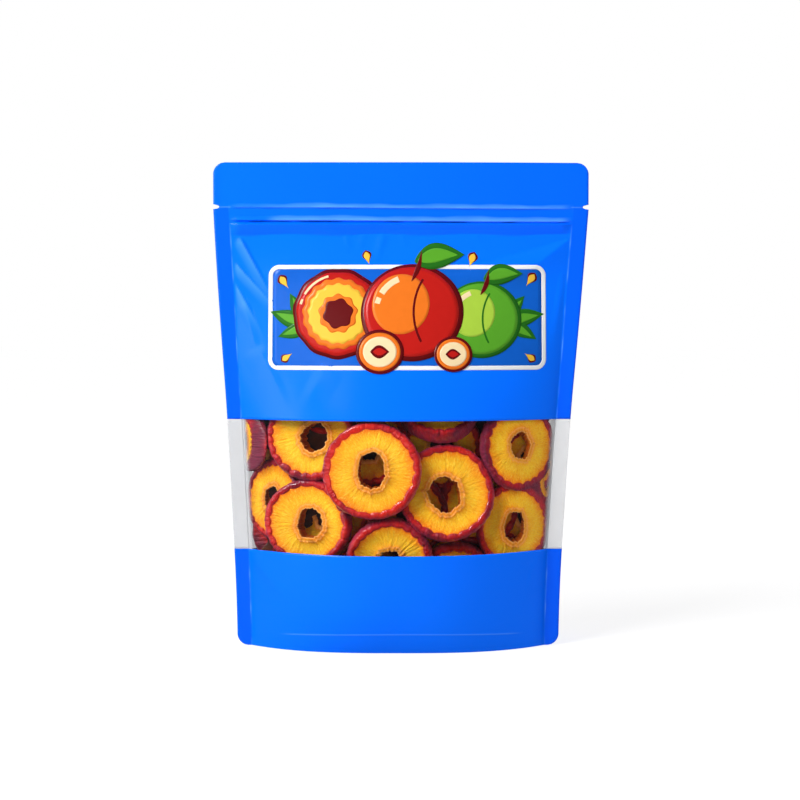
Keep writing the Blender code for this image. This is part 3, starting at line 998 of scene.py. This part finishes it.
def half_plum_print(centre, radius):
    """Shapes of a half plum with its stone."""
    x, z = centre
    return [
        ("maroon", 6, disc(centre, 0, radius, tall=0.92)),
        ("orange", 7, disc(centre, 0, radius * 0.86, tall=0.92)),
        ("cream", 8, disc(centre, 0, radius * 0.7, tall=0.9)),
        ("maroon", 9, blade((x - radius * 0.4, z), radius * 0.8, radius * 0.55, 0, blunt=0.9)),
        ("red", 10, blade((x - radius * 0.28, z), radius * 0.56, radius * 0.32, 0, blunt=0.9)),
    ]


def sprig_print(base, angle):
    """Three leaves that spread from one point."""
    shapes = []
    for turn, size in ((-40, 0.85), (0, 1.0), (40, 0.85)):
        way = math.radians(angle + turn)
        start = (base[0] + 0.3 * math.cos(way), base[1] + 0.3 * math.sin(way))
        shapes.append(("deep_green", 0, blade(start, 17 * size, 7.4 * size, angle + turn, bend=0.8)))
        shapes.append(("leaf_green", 1, blade(start, 14.5 * size, 3.8 * size, angle + turn, bend=0.7)))
    return shapes


def artwork():
    """Generic fruit design: a slice, a red plum, a green one and two halves, with leaves and drops."""
    x, z = FRAME_CENTRE
    half_x, half_z = FRAME_HALF
    shapes = [
        ("deep_blue", 0, filled_frame(FRAME_CENTRE, half_x - 0.4, half_z - 0.4, FRAME_CORNER - 0.4)),
        ("white", 2, rounded_frame(FRAME_CENTRE, *FRAME_HALF, FRAME_CORNER, -FRAME_LINE, FRAME_LINE)),
    ]
    motifs = (
        (4, sprig_print((x - 41, z - 2), 165)),
        (4, sprig_print((x + 41, z - 3), 15)),
        (6, plum_slice_print((x - 29, z + 1.5), 19.0)),
        (5, whole_plum_print((x + 31, z - 1), 17.0, "deep_green", "leaf_green", "lime")),
        (12, whole_plum_print((x + 2, z + 2.0), 21.5, "maroon", "red", "orange")),
        (15, half_plum_print((x - 11.5, z - 14.5), 10.0)),
        (15, half_plum_print((x + 19.0, z - 15.5), 8.0)),
    )
    for lift, motif in motifs:
        shapes += [(ink, lift + layer, shape) for ink, layer, shape in motif]
    for across, up, angle, size in DROPS:
        tip = (x + across, z + up)
        shapes.append(("maroon", 4, blade(tip, size, size * 0.62, angle, blunt=1.9)))
        shapes.append(("yellow", 5, blade(tip, size * 0.9, size * 0.40, angle, blunt=1.9)))
    return shapes


def make_print():
    """One piece for each ink, on the front and on the back."""
    shapes = artwork()
    for ink, colour in INKS.items():
        material = print_material(f"print_{ink}", colour)
        for side, word in ((-1, "front"), (1, "back")):
            parts = [printed(shape, side, layer) for name, layer, shape in shapes if name == ink]
            piece = mesh_object(f"print_{ink}_{word}", *joined(parts))
            thicken(close_poles(piece), INK_THICKNESS, 1)
            finish_piece(piece, material)


# Plum slices


def ripple(random, turn, counts, size, drift=0.0):
    """Sum of cosines round the slice, one for each whole count, with random phases and sizes."""
    total = 0.0
    for count in counts:
        phase = random.uniform(0, 2 * math.pi)
        total = total + random.uniform(0.4, 1.0) * np.cos(count * turn + phase + drift)
    return size * total / math.sqrt(len(counts))


def scallops(random, turn, drift=0.0):
    """Round lobes with sharp cusps between them, |sin| ** 0.65, stronger in some stretches than others."""
    count = int(random.integers(21, 28))
    phase = random.uniform(0, 2 * math.pi) + ripple(random, turn, (1, 2, 3, 5), 1.7)
    strength = np.clip(0.9 + ripple(random, turn, (1, 2, 3), 0.5), 0.35, 1.4)
    return strength * (np.abs(np.sin((count * turn + phase + drift) / 2)) ** 0.65 - 0.6)


# How many quarter turns the skin curls each way, and the share of its reach that lies outside its edge
SKIN_CURL = 1.35
SKIN_SHARE = 0.62

# Profile of the hole's edge, from the foot of the back lip to the foot of the front one
LIP_PATH = (0.0, 0.12, 0.22, 0.50, 0.78, 0.88, 0.94, 1.0)
LIP_OUT = (1.9, 0.6, 0.15, 0.45, 0.30, 0.0, 0.80, 1.9)
LIP_HEIGHT = (-0.98, -1.0, -0.8, 0.0, 0.60, 1.04, 0.90, 0.98)
LIP_CREST = (0.5, 0.6, 0.0, 0.0, 0.0, 1.0, 0.2, 0.75)
# Painted shade deep in the hole and just outside the front lip's crest
LIP_HOLE_SHADE = (0.0, 0.0, 0.7, 1.0, 0.7, 0.0, 0.22, 0.0)


def skin_profile(random, turn, radius, half, fine):
    """Radius and height of the skin, and its turn from the front edge's curl round to the back one's.

    It bulges by cos ** 0.8. Round lobes end it at both edges, which curl on to the flesh, and fine folds run
    over it.
    """
    outer = radius * (1 + ripple(random, turn, (2, 3, 4, 5), 0.014))
    skin_turn = np.linspace(SKIN_CURL, -SKIN_CURL, int(22 * fine))[None, :] * math.pi / 2
    cosine, sine = np.cos(skin_turn), np.sin(skin_turn)
    front = 0.5 + 0.5 * np.sin(np.clip(skin_turn, -math.pi / 2, math.pi / 2))
    lobes = front * scallops(random, turn) + (1 - front) * scallops(random, turn)
    reach = 3.0 + 0.9 * lobes + ripple(random, turn, (2, 3, 5), 0.2)
    curl = (1 - SKIN_SHARE) * (np.abs(cosine) / abs(math.cos(SKIN_CURL * math.pi / 2))) ** 0.8
    out = np.where(cosine >= 0, SKIN_SHARE * np.clip(cosine, 0, 1) ** 0.8, -curl)
    height = np.where(cosine >= 0, half * sine, np.sign(sine) * (half - 4.0 * (1 - np.abs(sine))))
    height = height + 0.45 * np.sign(sine) * lobes * np.abs(sine) ** 2
    folds = 0.32 * scallops(random, turn, drift=1.2 * np.sin(2 * skin_turn))
    folds = folds + ripple(random, turn, (31, 37, 43, 52), 0.1, drift=2.4 * skin_turn)
    return outer - SKIN_SHARE * reach + reach * out + np.clip(cosine, 0, 1) ** 0.5 * folds, height, skin_turn


def hole_profile(random, turn, radius, half, fine, shape):
    """Radius and height of the hole's wall past its two ragged lips, how much it is crest, and its painted
    shade deep in the hole.

    Radius = foot * (1 + oval * cos(2 * turn + slant)), with corners and teeth of |sin| ** 0.7 and 0.8.
    """
    foot = radius * SLICE_HOLE * random.uniform(0.92, 1.08)
    oval = random.uniform(0.03, 0.16)
    right, up = 0.0, 0.0
    if shape:
        share, oval, right, up = shape
        foot = radius * share
    corners = int(random.integers(5, 9))
    jagged = np.abs(np.sin((corners * turn + ripple(random, turn, (1, 2, 3), 2.2)) / 2)) ** 0.7
    teeth = np.abs(np.sin((23 * turn + ripple(random, turn, (2, 3, 5), 3.0)) / 2)) ** 0.8
    slant = math.pi + random.normal(0, 0.4)
    hole = foot * (1 + oval * np.cos(2 * turn + slant) + ripple(random, turn, (2, 3, 5), 0.06))
    hole = hole * (1 + 0.09 * (0.7 - jagged) + 0.05 * (0.6 - teeth))
    hole = hole + ripple(random, turn, (11, 14, 19, 29), 0.2) + right * np.cos(turn) + up * np.sin(turn)
    lean = random.uniform(0.4, 1.4) * np.cos(turn + random.uniform(0, 6))
    path = np.linspace(0, 1, int(17 * fine))[None, :]
    lip_out, lip_height, crest, deep = (
        np.interp(path, LIP_PATH, values) for values in (LIP_OUT, LIP_HEIGHT, LIP_CREST, LIP_HOLE_SHADE)
    )
    reach = hole + lip_out + (lean - 0.5) * (1 - path)
    reach = reach + ripple(random, turn, (13, 17, 26, 33), 0.16) * (1 - np.abs(2 * path - 1))
    height = half * lip_height + crest * ripple(random, turn, (7, 11, 17, 23), 0.28)
    return reach, height, crest[0], deep[0]


def face_profile(random, turn, start, end, flat, half, phase):
    """Radius and height of a face from the skin in to the hole: dished, radially wrinkled and dented."""
    bulge = np.sin(math.pi * flat)
    rise = 0.32 * (1 - np.exp(-flat * 20)) - 0.17 * flat + 0.36 * flat**12
    wrinkles = ripple(random, turn, range(29, 64, 5), 0.13, drift=1.4 * np.sin(3 * flat + phase))
    pucker = ripple(random, turn, (21, 27, 34, 41), 0.15) * flat**3
    dents = ripple(random, turn, (3, 5, 8), 0.16, drift=4 * flat) * bulge
    height = half - 0.59 + rise - 0.75 * bulge**0.8 + wrinkles * bulge**0.4 + pucker + dents
    return start + (end - start) * flat, height


def along_profile(skin, face, hole):
    """A value along a slice's profile, from its values on the skin, on a face inwards and in the hole."""
    return np.concatenate((skin, face, hole, face[::-1]))[None, :]


def slice_surface(random, radius, width_ratio, around, fine, hole_shape):
    """A pitted slice as a closed grid, its profile carried round with lobes, folds and a saddle bend.

    The profile runs out over the skin, in along the back face, through the hole, and out along the front
    face. Each point also gets its zone, its place among the fibres and the painted shade deep in the hole.
    """
    turn = np.linspace(0, 2 * math.pi, around, endpoint=False)[:, None]
    half = SLICE_THICKNESS / 2 * random.uniform(0.88, 1.04)
    skin_r, skin_h, skin_turn = skin_profile(random, turn, radius, half, fine)
    hole_r, hole_h, crest, deep = hole_profile(random, turn, radius, half, fine, hole_shape)
    flat = 0.5 - 0.5 * np.cos(math.pi * np.linspace(0, 1, int(18 * fine))[None, 1:-1])
    front_r, front_h = face_profile(random, turn, skin_r[:, :1], hole_r[:, -1:], flat, half, 0.0)
    back_r, back_h = face_profile(random, turn, skin_r[:, -1:], hole_r[:, :1], flat, half, 2.0)
    reach = np.concatenate((skin_r, back_r, hole_r, front_r[:, ::-1]), axis=1)
    height = np.concatenate((skin_h, -back_h, hole_h, front_h[:, ::-1]), axis=1)
    spread = reach / radius
    bend = random.uniform(0.4, 1.1)
    height = height + bend * spread**2 * np.cos(2 * turn + random.uniform(0, 6))
    height = height + ripple(random, turn, (1, 3), 0.25) * spread
    points = np.stack((reach * np.cos(turn) * width_ratio, reach * np.sin(turn), height), axis=-1)

    skin, face = skin_turn[0], flat[0]
    skin_mark = np.ones_like(skin)
    skin_mark[[0, -1]] = 0.5
    on_skin = along_profile(skin_mark, 0 * face, 0 * crest)
    on_crest = along_profile(0 * skin, 0 * face, crest)
    way = along_profile(np.clip(np.cos(skin), 0, 1), face, np.ones_like(crest))
    hole_shade = along_profile(0 * skin, 0 * face, deep)
    along = along_profile(1 + 0.12 * (SKIN_CURL - skin * 2 / math.pi), 1 - 0.6 * face, 0.4 + 0 * crest)
    level = np.ones_like(turn)
    zone = np.stack([level * part for part in (on_skin, on_crest, way)], axis=-1)
    polar = np.stack(np.broadcast_arrays(9 * np.cos(turn), 9 * np.sin(turn), 3.4 * along), axis=-1)
    return points, zone, polar + random.uniform(0, 50, 3), level * hole_shade


def turned(points, yaw, pitch):
    """Turns a slice that faces +Z so that it faces the front, then up by pitch and right by yaw."""
    lift = math.radians(90 - pitch)
    swing = math.radians(yaw)
    x, y, z = points[..., 0], points[..., 1], points[..., 2]
    y, z = y * math.cos(lift) - z * math.sin(lift), y * math.sin(lift) + z * math.cos(lift)
    x, y = x * math.cos(swing) - y * math.sin(swing), x * math.sin(swing) + y * math.cos(swing)
    return np.stack((x, y, z), axis=-1)


def soft_limit(value, limit, ease):
    """Leaves values well inside the limit alone, and eases the rest so that they approach it."""
    over = np.clip(np.abs(value) - (limit - ease), 0, None)
    kept = np.minimum(np.abs(value), limit - ease) + ease * np.tanh(over / np.maximum(ease, 0.01))
    return np.sign(value) * kept


def pressed(points, side):
    """Presses a slice into its half of the room inside the film, front (side -1) or back (side 1)."""
    x, y, z = points[..., 0], points[..., 1], points[..., 2]
    z = np.clip(z, BASE_ROOM, None)
    middle = centre_x(z)
    x = middle + soft_limit(x - middle, panel_half(z) - SEAL_ROOM, 1.6)
    room = np.clip(film_depth(x, z) - FILM_ROOM, 0.3, None)
    y = side * y
    centre = room / 2 + 0.1
    y = centre + soft_limit(y - centre, room / 2 - 0.1, np.clip(room * 0.3, 0.03, 2.0))
    return np.stack((x, side * y, z), axis=-1)


def placed_slice(random, spec, around=200, fine=1.0, hole=None):
    """One slice as points, faces and attributes, placed by numbers like those in FRONT_SLICES."""
    *place, radius, width_ratio, yaw, pitch = spec
    points, zone, polar, deep = slice_surface(random, radius, width_ratio, around, fine, hole)
    side = -1 if abs(yaw) < 90 else 1
    points = pressed(turned(points, yaw, pitch) + np.array(place, float), side)
    faces = grid_faces(*points.shape[:2], True, True)
    # Tone holds the slice's warmth and the painted shade deep in its hole
    tone = np.stack((np.full_like(deep, random.uniform(0, 1)), deep, 0 * deep), axis=-1)
    return points, faces, {"zone": zone, "polar": polar, "tone": tone}


def film_yaw(x, z):
    """Angle to the side that the front film faces at a place, in degrees."""
    slope = (film_depth(x - 1.0, z) - film_depth(x + 1.0, z)) / 2.0
    return math.degrees(math.atan(slope))


def back_places():
    """Places of the slices along the back film, in staggered rows that sink by turns."""
    for row in range(BACK_ROWS):
        for column in range(BACK_COLUMNS):
            x = (column - (BACK_COLUMNS - 1) / 2) * BACK_COLUMN_STEP + BACK_STAGGER * (2 * (row % 2) - 1)
            z = BACK_LOWEST + row * BACK_ROW_STEP + BACK_STAGGER * (column % 2)
            depth = film_depth(x, z) - BACK_SINK - BACK_LAYER_STEP * ((row + column) % 2)
            yield x, float(depth), z, BACK_RADIUS, 1.0, 180 - film_yaw(x, z), BACK_TILT * (row - 1)


def make_slices(plum):
    """Slices at the front, along the back film, behind the front ones and in the base."""
    random = np.random.default_rng(SEED)
    front = [placed_slice(random, spec, hole=HOLES.get(name)) for name, spec in FRONT_SLICES.items()]
    back = [placed_slice(random, spec) for spec in back_places()]
    second = [placed_slice(random, spec, around=120, fine=0.7) for spec in SECOND_SLICES]
    base = [placed_slice(random, spec, around=100, fine=0.6) for spec in BASE_SLICES]
    groups = {
        "front_slices_middle": front[:6],
        "front_slices_sides": front[6:],
        "second_slices": second,
        "base_slices": base,
        "back_slices_lower": back[:6],
        "back_slices_upper": back[6:],
    }
    for name, parts in groups.items():
        finish_piece(mesh_object(name, *joined(parts)), plum, ("plum_slices",))


def make_shaded_core(material):
    """Lumpy core of the heap: an oval pillar whose ends close, with bumps as large as slices' edges."""
    turn = np.linspace(0, 2 * math.pi, 160, endpoint=False)[None, :]
    level = np.concatenate((np.zeros(6), np.linspace(0, 1, 70), np.ones(6)))[:, None]
    close = np.concatenate((np.linspace(0, 1, 7)[:-1], np.ones(70), np.linspace(1, 0, 7)[1:]))[:, None]
    z = CORE_LOW + (CORE_HIGH - CORE_LOW) * level + 0 * turn
    lumps = 1 + 0.10 * np.sin(5 * turn + z / 5) * np.sin(z / 7 + 2 * turn) + 0.05 * np.sin(13 * turn - z / 3)
    x = centre_x(z) + (chord_half(z) - CORE_SIDE_ROOM) * np.cos(turn) * close * lumps
    y = CORE_HALF_DEPTH * np.sign(np.sin(turn)) * np.abs(np.sin(turn)) ** 1.4 * close * lumps
    piece = grid_piece("shaded_core_fruit", np.stack((x, y, z), axis=-1), wrap_columns=True)
    finish_piece(close_poles(piece), material, ("plum_slices",))


# Studio


def make_floor():
    """Plain pale floor, bright of itself to the camera so that the pouch's shadow on it stays faint."""
    material, tree, shader = new_material("floor")
    to_camera = node(tree, "ShaderNodeLightPath").outputs["Is Camera Ray"]
    away = node(tree, "ShaderNodeVectorMath", {"Vector": object_coordinates(tree)}, operation="LENGTH")
    near = scaled(tree, away.outputs["Value"], 0.2, 1.0, 0.73, 0.8)
    fill(tree, shader, {
        "Base Color": (0.3, 0.3, 0.3, 1),
        "Emission Color": (1, 1, 1, 1),
        "Emission Strength": mixed_values(tree, to_camera, 0.34, near),
        "Roughness": 0.8,
        "Specular IOR Level": 0.0,
    })
    reach = np.linspace(-FLOOR_REACH, FLOOR_REACH, 9)
    x, y = np.meshgrid(reach, reach)
    floor = grid_piece("floor", np.stack((x, y, np.zeros_like(x)), axis=-1))
    floor.data.materials.append(material)
    floor.visible_glossy = False


def new_light(name, kind, power, direction):
    """A light that shines against this direction."""
    data = bpy.data.lights.new(name, kind)
    data.energy = power
    light = bpy.data.objects.new(name, data)
    light.rotation_euler = Vector(direction).to_track_quat("Z", "Y").to_euler()
    bpy.context.scene.collection.objects.link(light)
    return light


def make_studio():
    """Key from the upper left front, cards for the sheen, weak far lights from the right and from behind."""
    for name, (place, size, power, diffuse, gloss) in SOFT_BOXES.items():
        light = new_light(name, "AREA", power, Vector(place) - Vector(LIGHT_TARGET))
        light.location = place
        light.data.size = size
        light.visible_diffuse = diffuse
        light.visible_glossy = gloss
    for name, (direction, strength, spread) in FAR_LIGHTS.items():
        light = new_light(name, "SUN", strength, direction)
        light.data.angle = math.radians(spread)
        light.visible_glossy = False
    world = bpy.data.worlds.new("studio")
    bpy.context.scene.world = world
    world.use_nodes = True
    tree = world.node_tree
    rays = node(tree, "ShaderNodeLightPath").outputs
    unlit = scaled(tree, rays["Is Glossy Ray"], 0.0, 1.0, 0.36, 0.1)
    shown = maths(tree, "MAXIMUM", rays["Is Camera Ray"], unlit)
    fill(tree, tree.nodes["Background"], {"Color": (1, 1, 1, 1), "Strength": shown})


def make_camera():
    """Camera at the photograph's height and distance, looking a little down."""
    data = bpy.data.cameras.new("camera")
    data.lens = LENS
    data.sensor_width = 36.0
    camera = bpy.data.objects.new("camera", data)
    camera.location = (CAMERA_X * MM, -CAMERA_DISTANCE * MM, CAMERA_HEIGHT * MM)
    camera.rotation_euler = (math.radians(90 - CAMERA_TURN_DOWN), 0, 0)
    bpy.context.scene.collection.objects.link(camera)
    bpy.context.scene.camera = camera


blue = blue_film_material()
make_printed_film(blue)
make_gusset(blue)
make_clear_film(clear_film_material())
make_clear_seals(hazy_seal_material())
make_print()
make_slices(plum_material())
make_shaded_core(shaded_core_material())
make_floor()
make_studio()
make_camera()
bpy.context.scene.view_settings.view_transform = "Standard"
